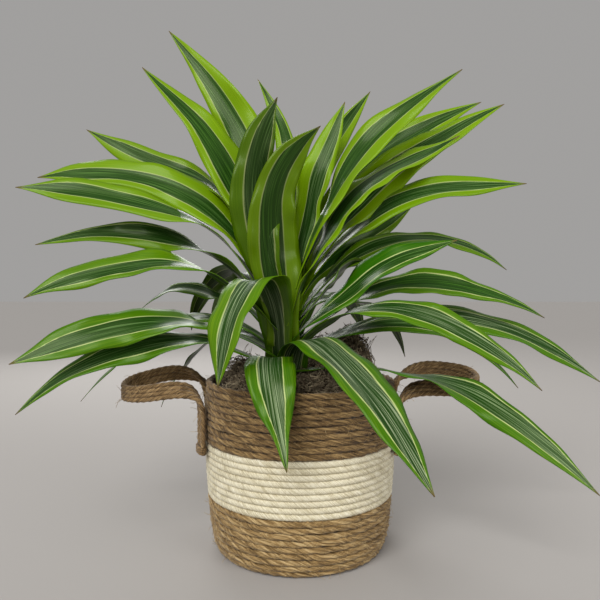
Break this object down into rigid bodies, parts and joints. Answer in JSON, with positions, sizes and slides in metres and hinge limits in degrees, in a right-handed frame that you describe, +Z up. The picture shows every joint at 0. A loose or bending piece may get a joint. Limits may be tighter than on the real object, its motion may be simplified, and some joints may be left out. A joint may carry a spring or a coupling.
{
  "type": "potted dracaena in a basket",
  "caption": "Striped dracaena with long arching leaves growing in a coiled rope basket with loop handles and moss over the soil.",
  "frame": {"origin": "centre of the basket's flat underside, on the surface it stands on", "axes": "+Z up, -Y towards the front, +X to the right of someone facing the front, through the right handle"},
  "size_m": [0.7572, 0.5404, 0.6732],
  "materials": {
    "seagrass_rope": "twisted dry grass rope, matte",
    "dark_seagrass_rope": "twisted dry grass rope, matte, a darker brown",
    "cotton_rope": "twisted off-white cotton rope, matte",
    "handle_cord": "twisted jute cord, matte and hairy",
    "liner": "thin plastic film, soft sheen",
    "pot": "moulded black plastic, satin",
    "soil": "dark crumbly potting mix",
    "moss": "dry curly grey-brown moss strands",
    "stem": "green woody stem wrapped in leaf bases",
    "leaf": "waxy leaf, semi-gloss, lime margins, cream lines and a dark green centre"
  },
  "bodies": {
    "root": {"basket_base": "seagrass_rope", "basket_lower_band": "seagrass_rope", "basket_white_band": "cotton_rope", "basket_upper_band": "dark_seagrass_rope", "basket_liner": "liner", "grow_pot": "pot", "potting_soil": "soil", "moss": "moss", "stem": "stem", "handle_left_strap_front": "handle_cord", "handle_left_strap_back": "handle_cord", "handle_left_lashing_front": "handle_cord", "handle_left_lashing_back": "handle_cord", "handle_left_loop": "handle_cord", "handle_right_strap_front": "handle_cord", "handle_right_strap_back": "handle_cord", "handle_right_lashing_front": "handle_cord", "handle_right_lashing_back": "handle_cord", "handle_right_loop": "handle_cord", "leaf_01": "leaf", "leaf_02": "leaf", "leaf_03": "leaf", "leaf_04": "leaf", "leaf_05": "leaf", "leaf_06": "leaf", "leaf_07": "leaf", "leaf_08": "leaf", "leaf_09": "leaf", "leaf_10": "leaf", "leaf_11": "leaf", "leaf_12": "leaf", "leaf_13": "leaf", "leaf_14": "leaf", "leaf_15": "leaf", "leaf_16": "leaf", "leaf_17": "leaf", "leaf_18": "leaf", "leaf_19": "leaf", "leaf_20": "leaf", "leaf_21": "leaf", "leaf_22": "leaf", "leaf_23": "leaf", "leaf_24": "leaf", "leaf_25": "leaf", "leaf_26": "leaf", "leaf_27": "leaf", "leaf_28": "leaf", "leaf_29": "leaf", "leaf_30": "leaf", "leaf_31": "leaf", "leaf_32": "leaf", "leaf_33": "leaf", "leaf_34": "leaf", "leaf_35": "leaf", "leaf_36": "leaf", "leaf_37": "leaf", "leaf_38": "leaf", "leaf_39": "leaf", "leaf_40": "leaf", "leaf_41": "leaf"}
  },
  "joints": []
}
